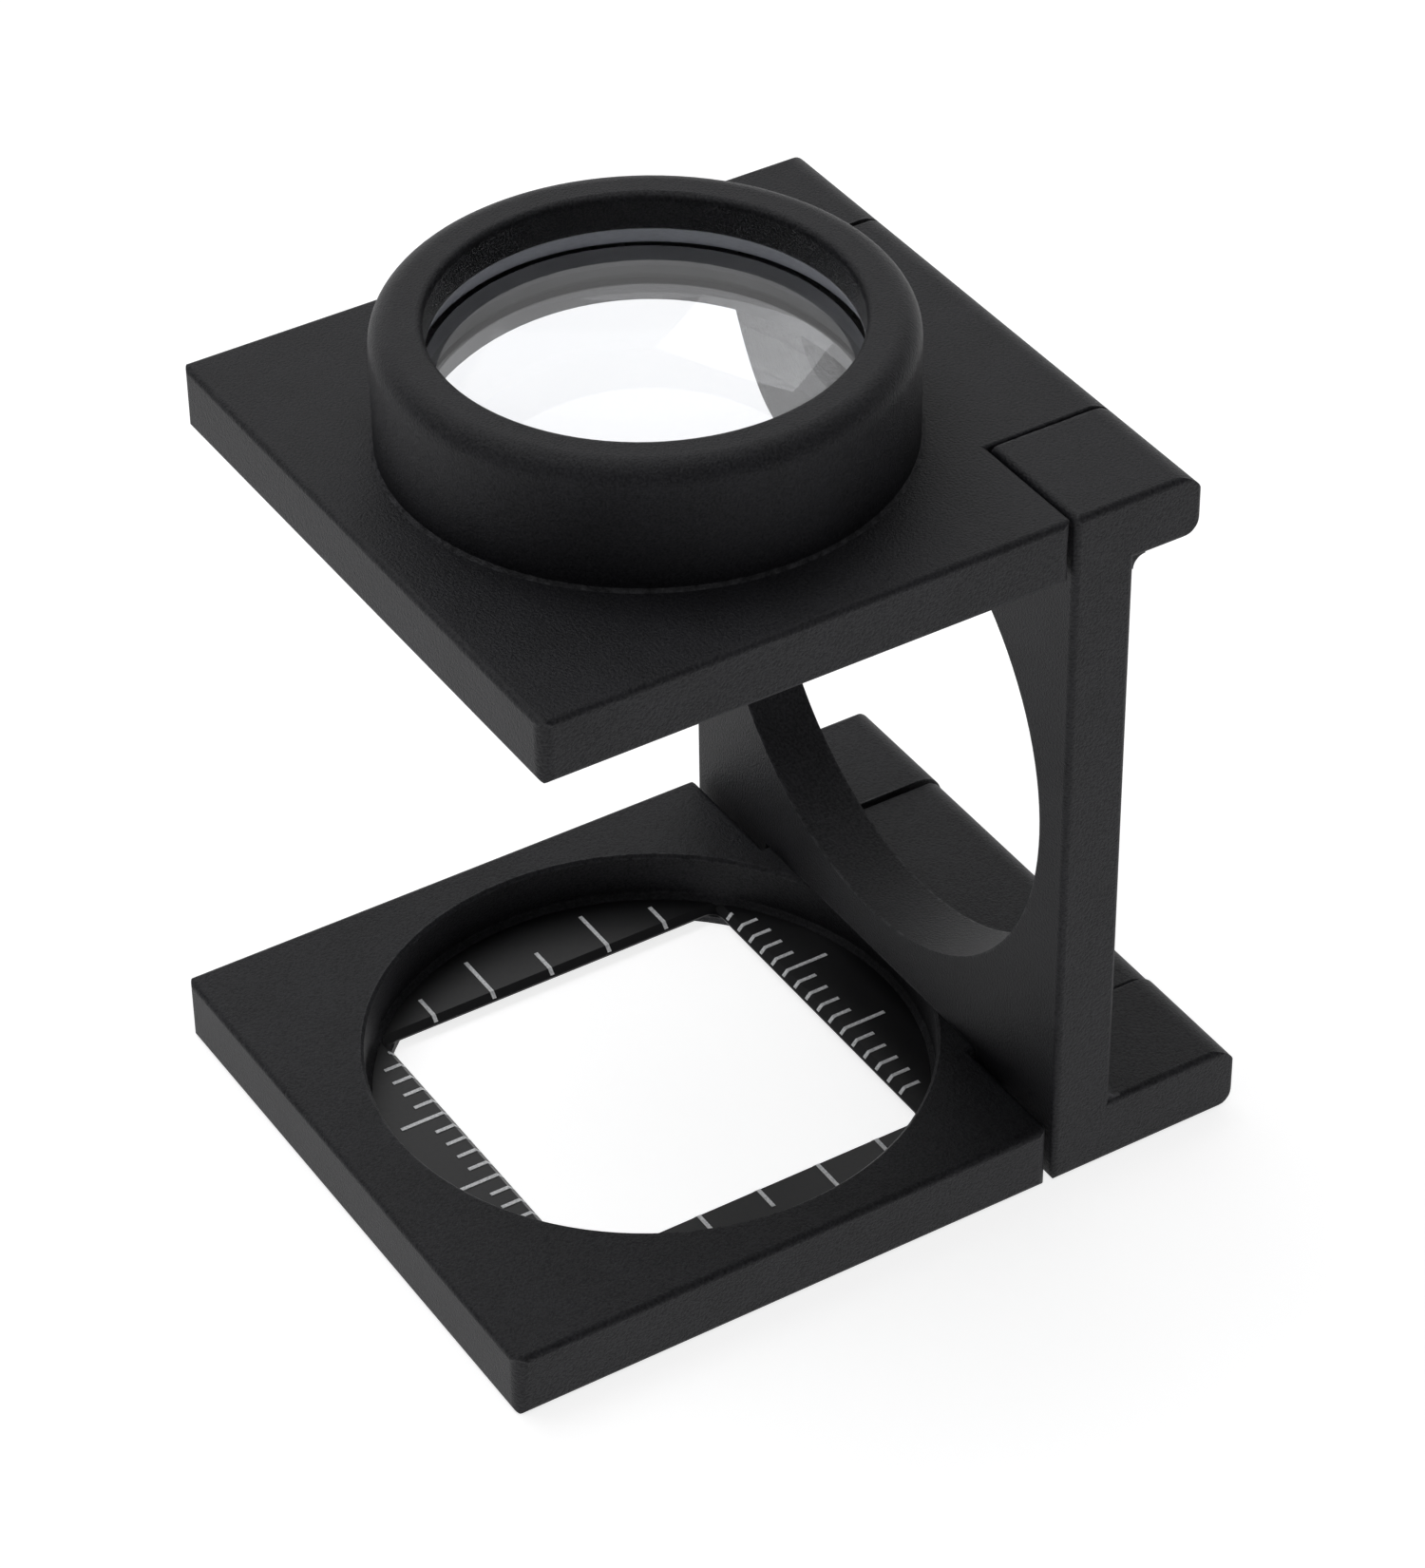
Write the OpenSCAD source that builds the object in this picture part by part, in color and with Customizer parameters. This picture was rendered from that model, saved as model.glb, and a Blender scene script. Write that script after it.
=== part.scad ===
// Folding stand magnifier with a measuring window in its base, standing open.
// Millimetres, +Z up. The origin is at the middle of the footprint, on the
// surface that the base stands on. The front is -Y and the hinges are at +Y.

/* [Plates] */
// Width of the base, the upright and the lens plate
plate_w = 30.5; // [29.5:0.1:34]
// Thickness of the base plate
base_t = 3.3; // [3:0.1:4]
// Thickness of the upright
upright_t = 3.1; // [2.8:0.1:3.6]
// Thickness of the lens plate
lens_plate_t = 3.1; // [2.8:0.1:3.6]
// Height of the lens plate's top face above the table
stand_h = 36.8; // [36:0.1:40]
// Distance from the front edge of the base to the upright
base_reach = 28.1; // [27.6:0.1:30]
// How far the lens plate's front edge is set back from the base's
lens_plate_setback = 2.4; // [1.5:0.1:4]
// Radius of the vertical corners of the base and the lens plate
corner_r = 0.6; // [0.4:0.05:0.8]
// Radius along the plates' other outer edges
edge_r = 0.3; // [0.15:0.05:0.4]

/* [Hinges] */
// Width of the tongues of the base and the lens plate
tongue_w = 17.6; // [14:0.1:18]
// Gap at each side of a tongue
tongue_gap = 0.18; // [0.1:0.01:0.3]
// Radius of the two hinge pins
pin_r = 0.75; // [0.6:0.05:0.9]
// Radial clearance of a pin in its tongue
pin_clearance = 0.04; // [0.02:0.01:0.08]
// Gap between the upright and the lens plate folded behind it
upright_fold_gap = 0.2; // [0.15:0.05:0.4]
// Gap between the folded lens plate and the base folded behind that
base_fold_gap = 0.35; // [0.3:0.05:0.5]
// Radius on the rear edges of the tongues, ears and feet
rear_r = 1.3; // [1.1:0.05:1.4]
// Radius of the fillets between the upright and its ears and feet
root_r = 0.6; // [0.4:0.1:0.8]

/* [Upright] */
// Radius of the large hole that the lens barrel folds into
hole_r = 13.35; // [12.8:0.05:13.4]
// Height of the two feet
foot_h = 3.45; // [3.4:0.05:3.8]

/* [Base window and scale] */
// Radius of the round recess in the base
recess_r = 13.2; // [13.1:0.05:13.6]
// Distance from the front edge of the base to the recess's centre
recess_y = 16.1; // [15.5:0.1:17]
// Width of the measuring window
window_w = 17.9; // [16:0.1:17.9]
// Depth of the measuring window, front to back
window_d = 18.2; // [16:0.1:18.2]
// Thickness of the ledge that carries the scale plate
ledge_t = 0.4; // [0.3:0.05:0.6]
// Thickness of the scale plate
scale_t = 0.4; // [0.35:0.05:0.5]
// Width of the bevel round the window
bevel_w = 0.3; // [0.2:0.05:0.4]
// Width of a printed scale mark
mark_w = 0.2; // [0.15:0.01:0.25]

/* [Lens] */
// Outer radius of the lens barrel
barrel_r = 11.6; // [11.4:0.05:11.9]
// Height of the barrel above the lens plate
barrel_h = 5.9; // [5.6:0.1:6.2]
// Radius of the opening over the upper lens
eye_r = 9.25; // [8.9:0.05:9.35]
// Depth of the lenses' seat below the rim
eye_depth = 1.7; // [1.5:0.05:1.75]
// Radius of both lenses
lens_r = 9.6; // [9.5:0.05:9.9]
// Radius of curvature of the upper lens's top
upper_curve = 60; // [50:0.5:80]
// Radius of curvature of the lower lens's underside
lower_curve = 36; // [36:0.5:60]
// Edge thickness of the upper lens
upper_lens_edge = 2.8; // [2.5:0.1:2.9]
// Height of the spacer between the lenses
spacer_t = 1.9; // [1.6:0.1:2]
// Edge thickness of the lower lens
lower_lens_edge = 1.1; // [1:0.1:1.2]

/* [Hidden] */

$fn = 96;
eps = 0.01;
cut = 1;                 // how far a cutter runs past the face that it opens

// Front to back, measured from the front edge of the base
upright_back = base_reach + upright_t;
top_pin_d = upright_back + upright_fold_gap + lens_plate_t / 2;
bottom_pin_d = top_pin_d + lens_plate_t / 2 + base_fold_gap + base_t / 2;
tail = 0.1;              // metal past a pin beyond half the plate's thickness
ear_end = top_pin_d + lens_plate_t / 2 + tail;
foot_end = bottom_pin_d + base_t / 2 + tail;
front = -foot_end / 2;   // the base's front edge in the part's own frame

// Heights
top_pin_z = stand_h - lens_plate_t / 2;
bottom_pin_z = base_t / 2;
stop_gap = 0.06;         // between a leaf and the edge of the upright that stops it
ear_t = lens_plate_t + 0.05;
root_in = 0.12;          // how far the fillets' blocks run into the metal and stop short of the sides
lens_y = recess_y + 0.55;  // the lens stands a little behind the window's centre
hole_z = top_pin_z - (top_pin_d - lens_y);
scale_z = ledge_t + scale_t;

// Across the hinges
half_w = plate_w / 2;
half_tongue = tongue_w / 2;
half_slot = half_tongue + tongue_gap;
notch_gap = 0.22;        // between the base's shoulders and the feet
pin_blind = 1.6;         // metal left over the blind end of a pin's bore
pin_recess = 0.25;       // how far a pin's end lies inside its open bore
pin_x0 = -half_w + pin_recess;
pin_x1 = half_w - pin_blind - 0.1;

// Barrel
barrel_top = stand_h + barrel_h;
plate_under_z = stand_h - lens_plate_t;
seat_z = barrel_top - eye_depth;
fit_gap = 0.02;          // round a part that slides into another
pocket_r = lens_r + fit_gap;
spigot_r = barrel_r - 0.6;
spigot_z = plate_under_z + 0.1;
rim_r = 1.1;             // rounding of the barrel's outer shoulder
lip_r = 0.35;            // rounding of the barrel's inner lip
bead = 0.15;             // paint gathered in the corner round the barrel's foot

// A domed lens touches its seat's inner corner, so its edge stays this far from the seat
function dome_z(curve, r) = sqrt(curve * curve - r * r);
function seat_gap(curve) = dome_z(curve, eye_r) - dome_z(curve, lens_r) + fit_gap;

// What the barrel holds, from the top down
upper_lens_z = seat_z - seat_gap(upper_curve) - upper_lens_edge;
spacer_z = upper_lens_z - spacer_t;
ring_top = spacer_z - lower_lens_edge - seat_gap(lower_curve);
ring_z = spigot_z;

// Scale marks
mark_t = 0.03;
mark_inset = 0.06;       // from the window's edge to the start of a mark
bevel_h = 0.32;          // how far the scale plate's bevel goes down
mm_short = 1.25;
mm_long = 2.5;
inch_short = 1.6;
inch_long = 2.8;
eighth = 25.4 / 8;
mark_limit_r = recess_r - 0.8;

// Base
shoulder_end = base_reach - notch_gap;
join_l = 4;              // how far a tongue's block runs into its plate
cove = 0.25;             // sloped corner round the recess's floor
foot_relief = 0.4;       // how much wider the opening under the scale plate is than the window
window_r = 0.7;          // radius of the window's corners
relief_r = 1.2;

// Lens plate
leaf_gap = 0.1;          // between the lens plate's shoulders and the upright
leaf_end = base_reach - leaf_gap;
swing_gap = 0.04;        // between the ears' front corners and the hollowed shoulders
swing_r = norm([top_pin_d - leaf_end, lens_plate_t / 2]) + swing_gap;

paint = "#26262a";

// Turns a shape drawn from the base's front edge into the part's own frame
module placed() {
  translate([0, front, 0])
    children();
}

// A rectangle of w by h with round corners, centred
module round_rect(w, h, r) {
  square([w - 2 * r, h], center = true);
  square([w, h - 2 * r], center = true);
  for (sx = [-1, 1], sy = [-1, 1])
    translate([sx * (w / 2 - r), sy * (h / 2 - r)])
      circle(r);
}

// A block from corner low to corner high: r_z rounds the edges along Z, and
// r_x and r_y those along X and Y
module round_block(low, high, r_z, r_x, r_y) {
  size = high - low;
  translate((low + high) / 2)
    intersection() {
      linear_extrude(size[2], center = true)
        round_rect(size[0], size[1], r_z);
      rotate([90, 0, 90])
        linear_extrude(size[0] + cut, center = true)
          round_rect(size[1], size[2], r_x);
      rotate([90, 0, 0])
        linear_extrude(size[1] + cut, center = true)
          round_rect(size[0], size[2], r_y);
    }
}

// A cylinder of radius r along X from x0 to x1, about the axis at (y, z)
module rod_x(r, x0, x1, y, z) {
  translate([x0, y, z])
    rotate([0, 90, 0])
      cylinder(r = r, h = x1 - x0);
}

// A concave fillet of radius r along X from x0 to x1, in the corner at (y, z): up is 1 where
// it fills the corner above z and -1 below
module root_fillet(r, x0, x1, y, z, up) {
  translate([x0, y, z])
    rotate([90, 0, 90])
      linear_extrude(x1 - x0)
        difference() {
          translate([-root_in, up > 0 ? -root_in : -r])
            square(r + root_in);
          translate([r, up * r])
            circle(r);
        }
}

// A pin with a small bevel at each end
module hinge_pin(y, z) {
  bevel = 0.12;
  placed()
    translate([pin_x0, y, z])
      rotate([0, 90, 0]) {
        cylinder(r1 = pin_r - bevel, r2 = pin_r, h = bevel);
        translate([0, 0, bevel])
          cylinder(r = pin_r, h = pin_x1 - pin_x0 - 2 * bevel);
        translate([0, 0, pin_x1 - pin_x0 - bevel])
          cylinder(r1 = pin_r, r2 = pin_r - bevel, h = bevel);
      }
}

// The window's outline, grown by more on every side
module window_outline(more, r) {
  translate([0, recess_y])
    round_rect(window_w + 2 * more, window_d + 2 * more, r);
}

module base_plate() {
  color(paint)
    placed()
      difference() {
        union() {
          round_block([-half_w, 0, 0], [half_w, shoulder_end, base_t], corner_r, edge_r, edge_r);
          round_block([-half_tongue, shoulder_end - join_l, 0], [half_tongue, foot_end, base_t],
                      edge_r, rear_r, edge_r / 2);
        }
        translate([0, recess_y, 0]) {
          translate([0, 0, scale_z + cove])
            cylinder(r = recess_r, h = base_t);
          translate([0, 0, scale_z])
            cylinder(r1 = recess_r - cove, r2 = recess_r, h = cove);
          translate([0, 0, ledge_t])
            cylinder(r = recess_r - cove, h = base_t);
          translate([0, 0, base_t - edge_r / 2])
            cylinder(r1 = recess_r, r2 = recess_r + edge_r, h = edge_r);
        }
        translate([0, 0, -cut])
          linear_extrude(2 * cut)
            intersection() {
              window_outline(foot_relief, relief_r);
              translate([0, recess_y])
                circle(recess_r - 2 * foot_relief);
            }
        rod_x(pin_r + pin_clearance, -half_tongue - cut, half_tongue + cut, bottom_pin_d, bottom_pin_z);
      }
}

// The two long faces of a bevel: it is w wide at the bottom and opens upwards along a length of l
module bevel_wedge(w, l) {
  opening = bevel_w * (1 + cut / bevel_h);
  rotate([90, 0, 0])
    linear_extrude(l, center = true)
      polygon([[-w / 2, 0], [w / 2, 0], [w / 2 + opening, bevel_h + cut], [-w / 2 - opening, bevel_h + cut]]);
}

module scale_plate() {
  color(paint)
    placed()
      difference() {
        translate([0, recess_y, ledge_t])
          cylinder(r = recess_r - cove - fit_gap, h = scale_t);
        translate([0, 0, ledge_t - cut])
          linear_extrude(scale_t + 2 * cut)
            window_outline(0, window_r);
        translate([0, recess_y, scale_z - bevel_h])
          intersection() {
            bevel_wedge(window_w, 2 * recess_r);
            rotate([0, 0, 90])
              bevel_wedge(window_d, 2 * recess_r);
          }
      }
}

// One printed mark that starts on the bevel at the window's edge and runs outwards to len
module mark(len) {
  low = -bevel_h * (1 - mark_inset / bevel_w);
  rotate([90, 0, 90])
    linear_extrude(mark_w, center = true)
      polygon([[mark_inset, low], [bevel_w, 0], [len, 0],
               [len, mark_t], [bevel_w, mark_t], [mark_inset, low + mark_t]]);
}

// How far a mark can run outwards at offset s along an edge that is d from the centre
function mark_room(s, d) = sqrt(mark_limit_r * mark_limit_r - s * s) - d;

module millimetre_marks() {
  color("white")
    placed()
      translate([0, recess_y, scale_z])
        for (side = [0, 180], i = [-8 : 7])
          translate([i, 0, 0])
            rotate([0, 0, side])
              translate([0, window_d / 2, 0])
                mark(min((i + 8) % 5 == 0 ? mm_long : mm_short, mark_room(i, window_d / 2)));
}

module eighth_inch_marks() {
  color("white")
    placed()
      translate([0, recess_y, scale_z])
        for (side = [90, -90], i = [-2 : 2])
          translate([0, i * eighth, 0])
            rotate([0, 0, side])
              translate([0, window_w / 2, 0])
                mark(min(i % 2 == 0 ? inch_short : inch_long, mark_room(i * eighth, window_w / 2)));
}

module upright() {
  ear_w = half_w - half_slot + edge_r;
  ear_x = half_w - ear_w / 2;
  overlap = 1;           // how far the ears' and feet's blocks start behind the upright's front
  root_x = ear_w / 2 - root_in;
  color(paint)
    placed()
      difference() {
        union() {
          round_block([-half_w, base_reach, 0], [half_w, upright_back, stand_h], edge_r, edge_r, edge_r);
          for (side = [-1, 1])
            translate([side * ear_x, 0, 0]) {
              round_block([-ear_w / 2, base_reach + overlap, stand_h - ear_t], [ear_w / 2, ear_end, stand_h],
                          edge_r, rear_r, edge_r);
              round_block([-ear_w / 2, base_reach + overlap, 0], [ear_w / 2, foot_end, foot_h],
                          edge_r, rear_r, edge_r);
              root_fillet(root_r, -root_x, root_x, upright_back, stand_h - ear_t, -1);
              root_fillet(root_r, -root_x, root_x, upright_back, foot_h, 1);
            }
        }
        translate([-half_slot, base_reach - cut, plate_under_z - stop_gap])
          cube([2 * half_slot, upright_t + 2 * cut, lens_plate_t + cut]);
        translate([-half_slot, base_reach - cut, -cut])
          cube([2 * half_slot, upright_t + 2 * cut, base_t + stop_gap + cut]);
        translate([-half_slot, upright_back, -cut])
          cube([2 * half_slot, foot_end - upright_back + cut, stand_h + 2 * cut]);
        translate([0, base_reach - cut, hole_z])
          rotate([-90, 0, 0])
            cylinder(r = hole_r, h = upright_t + 2 * cut);
        rod_x(pin_r, -half_w - cut, half_w - pin_blind, top_pin_d, top_pin_z);
        rod_x(pin_r, -half_w - cut, half_w - pin_blind, bottom_pin_d, bottom_pin_z);
      }
}

module lens_plate() {
  color(paint)
    placed()
      difference() {
        union() {
          difference() {
            round_block([-half_w, lens_plate_setback, plate_under_z], [half_w, leaf_end, stand_h],
                        corner_r, edge_r, edge_r);
            rod_x(swing_r, -half_w - cut, -half_tongue, top_pin_d, top_pin_z);
            rod_x(swing_r, half_tongue, half_w + cut, top_pin_d, top_pin_z);
          }
          round_block([-half_tongue, leaf_end - join_l, plate_under_z], [half_tongue, ear_end, stand_h],
                      edge_r, rear_r, edge_r / 2);
        }
        translate([0, lens_y, plate_under_z - cut])
          cylinder(r = spigot_r, h = lens_plate_t + 2 * cut);
        rod_x(pin_r + pin_clearance, -half_tongue - cut, half_tongue + cut, top_pin_d, top_pin_z);
      }
}

// Half of the barrel's section: x is the radius and y the height
module barrel_section() {
  difference() {
    union() {
      translate([eye_r, stand_h])
        square([barrel_r - eye_r, barrel_h - rim_r]);
      translate([eye_r + lip_r, stand_h])
        square([barrel_r - rim_r - eye_r - lip_r, barrel_h]);
      translate([eye_r, stand_h])
        square([lip_r + eps, barrel_h - lip_r]);
      translate([barrel_r - rim_r, barrel_top - rim_r])
        circle(rim_r);
      translate([eye_r + lip_r, barrel_top - lip_r])
        circle(lip_r);
      translate([eye_r, spigot_z])
        square([spigot_r - eye_r, stand_h - spigot_z + eps]);
    }
    translate([0, spigot_z - cut])
      square([pocket_r, seat_z - spigot_z + cut]);
  }
}

module lens_barrel() {
  color(paint)
    placed()
      translate([0, lens_y, 0]) {
        rotate_extrude($fn = 128)
          barrel_section();
        translate([0, 0, stand_h])
          difference() {
            cylinder(r1 = barrel_r + bead, r2 = barrel_r, h = bead);
            translate([0, 0, -cut])
              cylinder(r = barrel_r - eps, h = 2 * cut);
          }
      }
}

// A tube about the lens's axis, from height z0 up to z1
module tube(outer, inner, z0, z1) {
  placed()
    translate([0, lens_y, z0])
      difference() {
        cylinder(r = outer, h = z1 - z0);
        translate([0, 0, -cut])
          cylinder(r = inner, h = z1 - z0 + 2 * cut);
      }
}

// A lens with a flat side at z = 0 and its domed side up
module dome_lens(edge, curve) {
  sag = curve - dome_z(curve, lens_r);
  intersection() {
    cylinder(r = lens_r, h = edge + sag + cut);
    translate([0, 0, edge + sag - curve])
      sphere(curve, $fn = 200);
  }
}

module upper_lens() {
  color([0.8, 0.9, 0.95, 0.4])
    placed()
      translate([0, lens_y, upper_lens_z])
        dome_lens(upper_lens_edge, upper_curve);
}

module lens_spacer() {
  color("dimgray")
    tube(lens_r, eye_r, spacer_z, upper_lens_z);
}

module lower_lens() {
  color([0.8, 0.9, 0.95, 0.4])
    placed()
      translate([0, lens_y, spacer_z])
        mirror([0, 0, 1])
          dome_lens(lower_lens_edge, lower_curve);
}

module lens_retaining_ring() {
  color("silver")
    tube(pocket_r, eye_r, ring_z, ring_top);
}

module top_hinge_pin() {
  color("silver")
    hinge_pin(top_pin_d, top_pin_z);
}

module bottom_hinge_pin() {
  color("silver")
    hinge_pin(bottom_pin_d, bottom_pin_z);
}

base_plate();
scale_plate();
millimetre_marks();
eighth_inch_marks();
upright();
lens_plate();
lens_barrel();
upper_lens();
lens_spacer();
lower_lens();
lens_retaining_ring();
top_hinge_pin();
bottom_hinge_pin();
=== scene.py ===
"""Looks of the folding stand loupe: its materials, the floor, the light and the camera.
Metres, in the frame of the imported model: +X runs along the hinges, +Y from front to back."""
import bpy
import math
from mathutils import Matrix, Vector


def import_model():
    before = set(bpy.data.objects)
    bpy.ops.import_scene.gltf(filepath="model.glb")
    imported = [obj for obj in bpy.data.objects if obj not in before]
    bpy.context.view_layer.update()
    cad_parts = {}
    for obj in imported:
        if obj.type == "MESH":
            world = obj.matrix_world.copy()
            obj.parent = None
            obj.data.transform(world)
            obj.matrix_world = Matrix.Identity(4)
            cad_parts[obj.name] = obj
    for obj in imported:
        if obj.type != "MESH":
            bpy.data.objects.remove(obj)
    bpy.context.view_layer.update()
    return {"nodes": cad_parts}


MM = 0.001
CLEAR_RADIUS = 9.25 * MM        # of the lenses, inside the lip, the spacer and the ring
FLOOR_DROP = 0.02 * MM          # keeps the floor from fighting with the undersides

# Sockets of Blender's mix node when it mixes colours
COLOUR_A = 6
COLOUR_B = 7
COLOUR_OUT = 2

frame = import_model()
nodes = frame["nodes"]


# ---------------------------------------------------------------- materials

class Graph:
    """A node material that is built one node at a time."""

    def __init__(self, name):
        self.material = bpy.data.materials.new(name)
        self.material.use_nodes = True
        self.tree = self.material.node_tree
        self.tree.nodes.clear()
        self.output = self.tree.nodes.new("ShaderNodeOutputMaterial")
        self.shader = self.add("ShaderNodeBsdfPrincipled")
        self.link(self.shader.outputs["BSDF"], self.output.inputs["Surface"])
        self.place = self.add("ShaderNodeTexCoord").outputs["Object"]

    def add(self, kind, **settings):
        node = self.tree.nodes.new(kind)
        for key, value in settings.items():
            setattr(node, key, value)
        return node

    def link(self, source, target):
        self.tree.links.new(source, target)

    def set(self, **values):
        """Sets sockets of the main shader: underscores stand for spaces."""
        for key, value in values.items():
            self.shader.inputs[key.replace("_", " ")].default_value = value

    def noise(self, size, detail=3.0, roughness=0.5, stretch=(1, 1, 1)):
        """Noise whose lumps are about size across, in metres."""
        mapping = self.add("ShaderNodeMapping")
        mapping.inputs["Scale"].default_value = stretch
        self.link(self.place, mapping.inputs["Vector"])
        node = self.add("ShaderNodeTexNoise")
        node.inputs["Scale"].default_value = 1 / size
        node.inputs["Detail"].default_value = detail
        node.inputs["Roughness"].default_value = roughness
        self.link(mapping.outputs["Vector"], node.inputs["Vector"])
        return node.outputs["Fac"]

    def ramp(self, value, low, high, to_low=0.0, to_high=1.0):
        """Maps value from low..high to to_low..to_high, held at the ends."""
        node = self.add("ShaderNodeMapRange")
        limits = (("From Min", low), ("From Max", high), ("To Min", to_low), ("To Max", to_high))
        for key, number in limits:
            node.inputs[key].default_value = number
        self.link(value, node.inputs["Value"])
        return node.outputs["Result"]

    def math(self, operation, a, b):
        """One sum on two sockets or numbers."""
        node = self.add("ShaderNodeMath", operation=operation)
        for socket, value in zip(node.inputs, (a, b)):
            if isinstance(value, (int, float)):
                socket.default_value = value
            else:
                self.link(value, socket)
        return node.outputs[0]

    def mix(self, factor, a, b):
        """A colour between a and b."""
        node = self.add("ShaderNodeMix", data_type="RGBA")
        self.link(factor, node.inputs["Factor"])
        for socket, value in ((node.inputs[COLOUR_A], a), (node.inputs[COLOUR_B], b)):
            if isinstance(value, tuple):
                socket.default_value = (*value, 1)
            else:
                self.link(value, socket)
        return node.outputs[COLOUR_OUT]

    def edges(self, radius):
        """1 on edges, 0 on faces: how far the surface turns within radius."""
        bevel = self.add("ShaderNodeBevel", samples=6)
        bevel.inputs["Radius"].default_value = radius
        geometry = self.add("ShaderNodeNewGeometry")
        dot = self.add("ShaderNodeVectorMath", operation="DOT_PRODUCT")
        self.link(bevel.outputs["Normal"], dot.inputs[0])
        self.link(geometry.outputs["Normal"], dot.inputs[1])
        return self.ramp(dot.outputs["Value"], 0.995, 0.90)

    def bump(self, height, distance, strength):
        """A normal roughened by height, whose full range stands distance high."""
        node = self.add("ShaderNodeBump")
        node.inputs["Strength"].default_value = strength
        node.inputs["Distance"].default_value = distance
        self.link(height, node.inputs["Height"])
        return node.outputs["Normal"]


def matte_paint(name, colour, wear_and_highlight_colour, rough, grain, sheen):
    """Thin black paint over blasted metal: fine grain, soft clouds, and edges lighter in colour, partly
    rubbed wear and partly a painted highlight.
    """
    g = Graph(name)
    fine = g.noise(grain, detail=3, roughness=0.65)
    cloud = g.noise(2.5 * MM, detail=5, roughness=0.6)
    tone = g.math("ADD", g.ramp(cloud, 0.3, 0.7, 0, 0.5), g.ramp(fine, 0.3, 0.7, 0, 0.5))
    base = g.mix(tone, tuple(0.6 * c for c in colour), tuple(1.4 * c for c in colour))
    # Edge mask: lightens the colour along edges, partly as rubbed wear and partly as a painted highlight
    # standing in for fillet reflections
    rub_and_highlight = g.math("MULTIPLY", g.edges(0.25 * MM), g.ramp(g.noise(0.4 * MM, detail=4), 0.40, 0.65))
    g.link(g.mix(rub_and_highlight, base, wear_and_highlight_colour), g.shader.inputs["Base Color"])
    speck = g.ramp(fine, 0.3, 0.7, rough - 0.1, rough + 0.1)
    g.link(g.math("SUBTRACT", speck, g.math("MULTIPLY", rub_and_highlight, 0.1)), g.shader.inputs["Roughness"])
    g.link(g.bump(fine, 0.08 * MM, 0.8), g.shader.inputs["Normal"])
    g.link(g.ramp(fine, 0.35, 0.65, 0.6 * sheen, 1.4 * sheen), g.shader.inputs["Specular IOR Level"])
    return g.material


def smooth_dark(name, colour, rough):
    """A smooth dark finish with faint clouds, for the scale plate and the spacer."""
    g = Graph(name)
    cloud = g.noise(1.5 * MM)
    g.link(g.mix(cloud, colour, tuple(1.5 * c for c in colour)), g.shader.inputs["Base Color"])
    g.link(g.ramp(g.noise(0.2 * MM), 0.3, 0.7, rough - 0.05, rough + 0.05), g.shader.inputs["Roughness"])
    g.link(g.bump(cloud, 0.01 * MM, 0.3), g.shader.inputs["Normal"])
    return g.material


def printed_white(name):
    """White print that is a little thin in places."""
    g = Graph(name)
    ink = g.ramp(g.noise(0.12 * MM, detail=4), 0.3, 0.6)
    g.link(g.mix(ink, (0.55, 0.56, 0.58), (0.86, 0.87, 0.88)), g.shader.inputs["Base Color"])
    g.link(g.ramp(ink, 0, 1, 0.6, 0.45), g.shader.inputs["Roughness"])
    return g.material


def ground_and_polished_glass(name, node, edge):
    """Clear within CLEAR_RADIUS of the lens's axis, and ground matte outside that and round the edge."""
    g = Graph(name)
    middle = sum((Vector(corner) for corner in nodes[node].bound_box), Vector()) / 8
    offset = g.add("ShaderNodeVectorMath", operation="SUBTRACT")
    g.link(g.place, offset.inputs[0])
    offset.inputs[1].default_value = middle
    across = g.add("ShaderNodeVectorMath", operation="MULTIPLY")
    g.link(offset.outputs["Vector"], across.inputs[0])
    across.inputs[1].default_value = (1, 1, 0)
    radius = g.add("ShaderNodeVectorMath", operation="LENGTH")
    g.link(across.outputs["Vector"], radius.inputs[0])
    blur = 0.02 * MM
    clear = g.ramp(radius.outputs["Value"], CLEAR_RADIUS + blur, CLEAR_RADIUS - blur)
    normal = g.add("ShaderNodeTexCoord").outputs["Normal"]
    split = g.add("ShaderNodeSeparateXYZ")
    g.link(normal, split.inputs[0])
    upward = g.math("ABSOLUTE", split.outputs["Z"], 0)
    polished = g.math("MULTIPLY", g.ramp(upward, 0.35, 0.55), clear)
    ground = g.mix(g.noise(0.3 * MM, detail=4), tuple(0.85 * c for c in edge), tuple(1.15 * c for c in edge))
    g.link(g.mix(polished, ground, (0.985, 0.99, 1.0)), g.shader.inputs["Base Color"])
    g.link(g.ramp(polished, 0, 1, 0.6, 0), g.shader.inputs["Roughness"])
    g.link(polished, g.shader.inputs["Transmission Weight"])
    g.set(IOR=1.52)
    return g.material


def turned_metal(name, colour, rough):
    """Metal with fine tool marks."""
    g = Graph(name)
    lines = g.noise(0.05 * MM, stretch=(0.2, 1, 1))
    g.link(g.mix(lines, tuple(0.8 * c for c in colour), colour), g.shader.inputs["Base Color"])
    g.link(g.ramp(lines, 0.3, 0.7, rough - 0.06, rough + 0.08), g.shader.inputs["Roughness"])
    g.link(g.bump(lines, 0.005 * MM, 0.5), g.shader.inputs["Normal"])
    g.set(Metallic=1.0)
    return g.material


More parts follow.
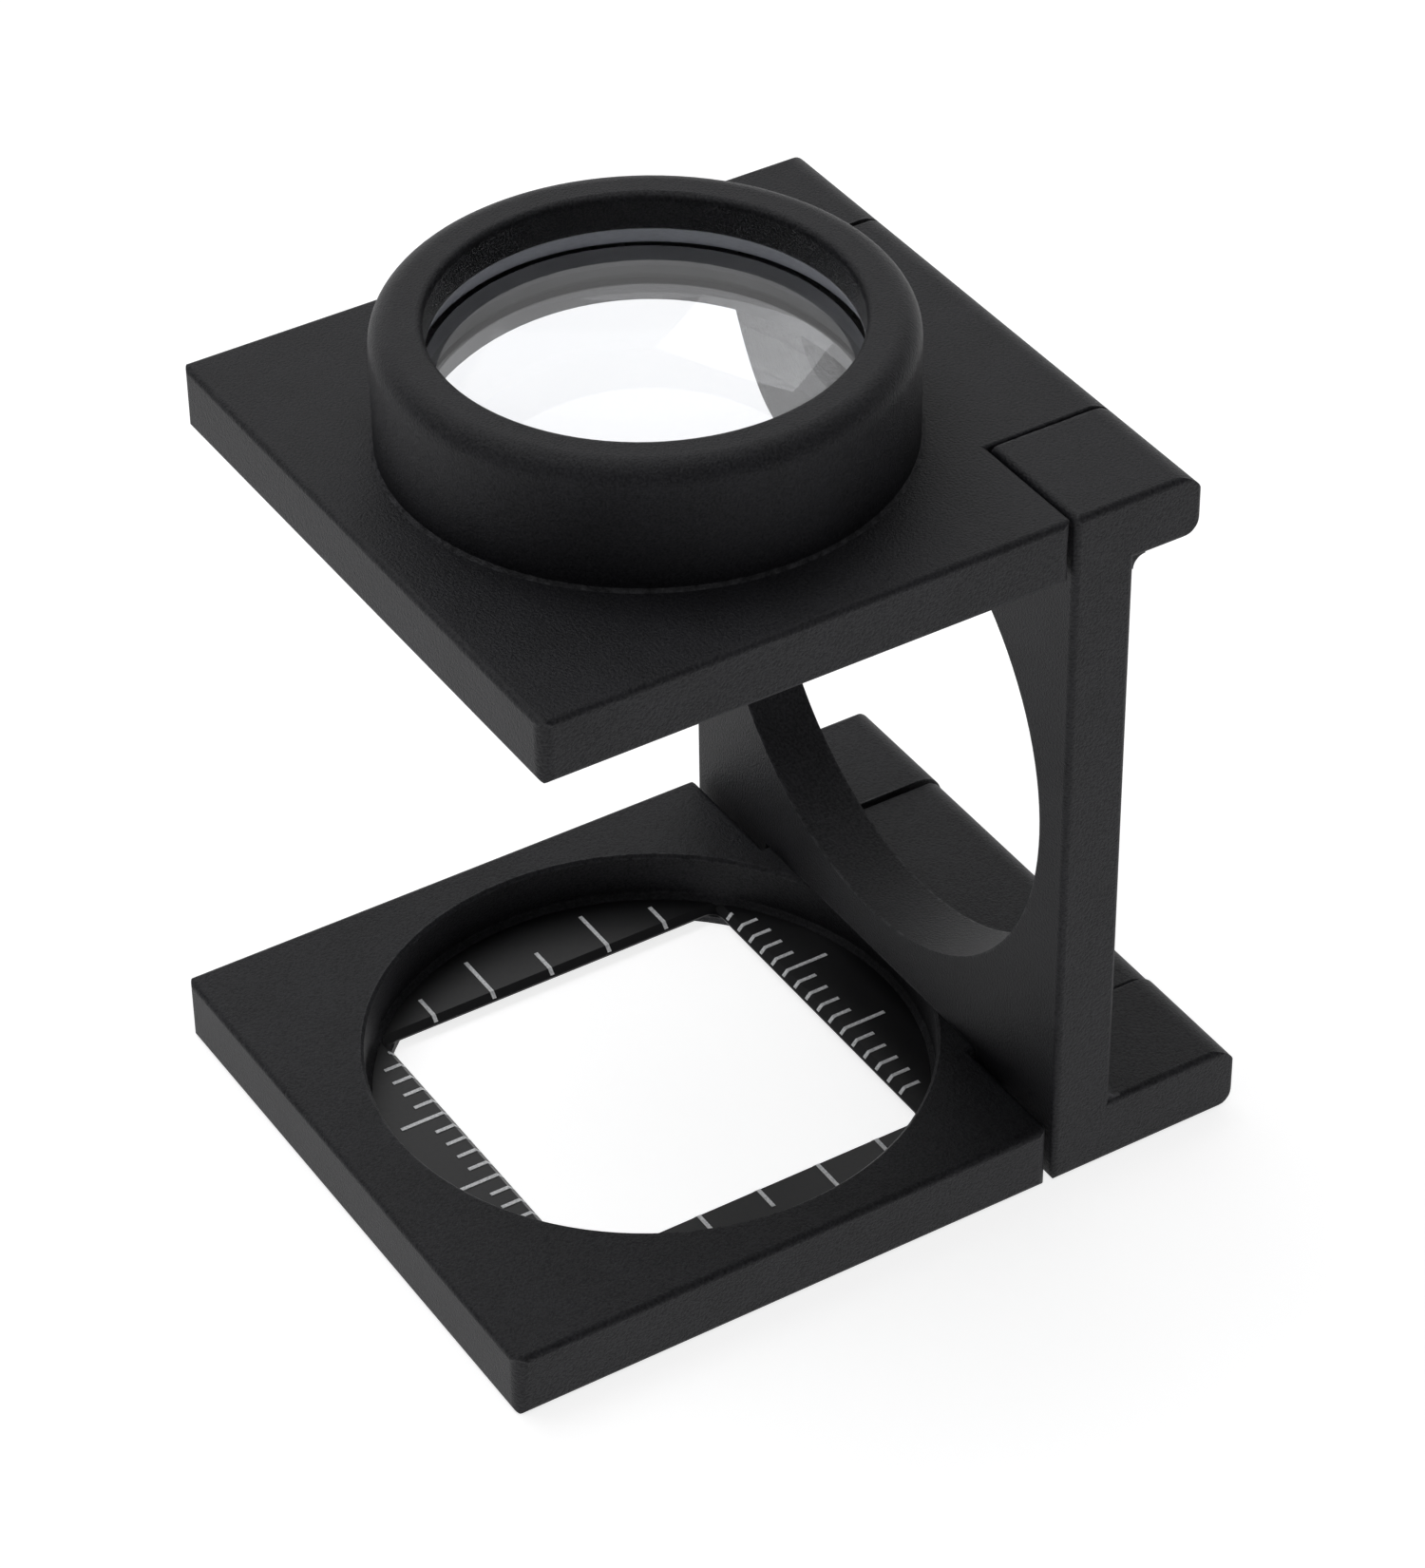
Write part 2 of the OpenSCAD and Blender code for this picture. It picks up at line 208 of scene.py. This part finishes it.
plate_paint = matte_paint("plate_paint", colour=(0.0115, 0.0115, 0.014), wear_and_highlight_colour=(0.05, 0.05, 0.055),
                          rough=0.5, grain=0.13 * MM, sheen=0.23)
barrel_paint = matte_paint("barrel_paint", colour=(0.0095, 0.0095, 0.012), wear_and_highlight_colour=(0.045, 0.045, 0.05),
                           rough=0.46, grain=0.11 * MM, sheen=0.23)
scale_black = smooth_dark("scale_black", (0.004, 0.004, 0.005), 0.4)
spacer_grey = smooth_dark("spacer_grey", (0.11, 0.112, 0.12), 0.75)
scale_white = printed_white("scale_white")
upper_glass = ground_and_polished_glass("upper_glass", "upper_lens", (0.8, 0.82, 0.88))
lower_glass = ground_and_polished_glass("lower_glass", "lower_lens", (0.09, 0.09, 0.1))
ring_metal = turned_metal("ring_metal", (0.12, 0.12, 0.125), 0.5)
pin_steel = turned_metal("pin_steel", (0.55, 0.55, 0.56), 0.3)

FINISHES = {
    "base_plate": plate_paint, "upright": plate_paint, "lens_plate": plate_paint,
    "lens_barrel": barrel_paint, "lens_spacer": spacer_grey,
    "lens_retaining_ring": ring_metal, "upper_lens": upper_glass, "lower_lens": lower_glass,
    "scale_plate": scale_black, "millimetre_marks": scale_white, "eighth_inch_marks": scale_white,
    "top_hinge_pin": pin_steel, "bottom_hinge_pin": pin_steel,
}
for name, material in FINISHES.items():
    for slot in nodes[name].material_slots:
        slot.material = material


# ------------------------------------------------------------ floor and light

def floor():
    """A wide white floor that glows enough to stay white under the soft light."""
    mesh = bpy.data.meshes.new("floor")
    half = 6.0
    corners = [(-half, -half, 0), (half, -half, 0), (half, half, 0), (-half, half, 0)]
    mesh.from_pydata(corners, [], [(0, 1, 2, 3)])
    obj = bpy.data.objects.new("floor", mesh)
    bpy.context.scene.collection.objects.link(obj)
    g = Graph("floor_white")
    g.set(Base_Color=(0.45, 0.45, 0.455, 1), Roughness=0.9, Specular_IOR_Level=0.05,
          Emission_Color=(1, 1, 1, 1), Emission_Strength=0.8)
    mesh.materials.append(g.material)
    obj.location.z = -FLOOR_DROP


def soft_light(name, azimuth, elevation, distance, size, power):
    """A square soft box that points at the object. Azimuth 0 is the front and 90 is +X."""
    light = bpy.data.lights.new(name, "AREA")
    light.size = size
    light.energy = power
    obj = bpy.data.objects.new(name, light)
    a = math.radians(azimuth)
    e = math.radians(elevation)
    back = Vector((math.sin(a) * math.cos(e), -math.cos(a) * math.cos(e), math.sin(e)))
    obj.location = back * distance
    obj.rotation_mode = "QUATERNION"
    obj.rotation_quaternion = (-back).to_track_quat("-Z", "Y")
    bpy.context.scene.collection.objects.link(obj)


def world():
    """A dim white room."""
    w = bpy.data.worlds.new("studio")
    w.use_nodes = True
    background = w.node_tree.nodes["Background"]
    background.inputs["Color"].default_value = (1, 1, 1, 1)
    background.inputs["Strength"].default_value = 0.15
    bpy.context.scene.world = w


floor()
world()
soft_light("backdrop", azimuth=-118, elevation=38, distance=0.9, size=1.4, power=4.4)
soft_light("key", azimuth=-60, elevation=62, distance=0.6, size=0.35, power=1.0)
soft_light("top", azimuth=60, elevation=80, distance=0.6, size=0.3, power=0.4)


# ------------------------------------------------------------------- camera

def camera():
    """The photograph's view, from the front right and above. Pan and rise move the camera
    across and up in its own view."""
    azimuth = math.radians(58.511)
    elevation = math.radians(38.106)
    roll = math.radians(-0.795)
    distance = 239.9 * MM
    pan = -2.014 * MM
    rise = -5.08 * MM
    target = Vector((0, 2.875, 22)) * MM
    back = Vector((math.sin(azimuth) * math.cos(elevation), -math.cos(azimuth) * math.cos(elevation),
                   math.sin(elevation)))
    right = Vector((math.cos(azimuth), math.sin(azimuth), 0))
    up = back.cross(right)
    place = target + back * distance + right * pan + up * rise
    rolled_right = math.cos(roll) * right + math.sin(roll) * up
    rolled_up = math.cos(roll) * up - math.sin(roll) * right
    data = bpy.data.cameras.new("camera")
    data.lens = 124.17
    data.sensor_width = 36
    data.clip_start = 0.01
    data.clip_end = 10
    obj = bpy.data.objects.new("camera", data)
    turn = Matrix((rolled_right, rolled_up, back)).transposed().to_4x4()
    obj.matrix_world = Matrix.Translation(place) @ turn
    bpy.context.scene.collection.objects.link(obj)
    bpy.context.scene.camera = obj


camera()
bpy.context.scene.view_settings.view_transform = "Standard"
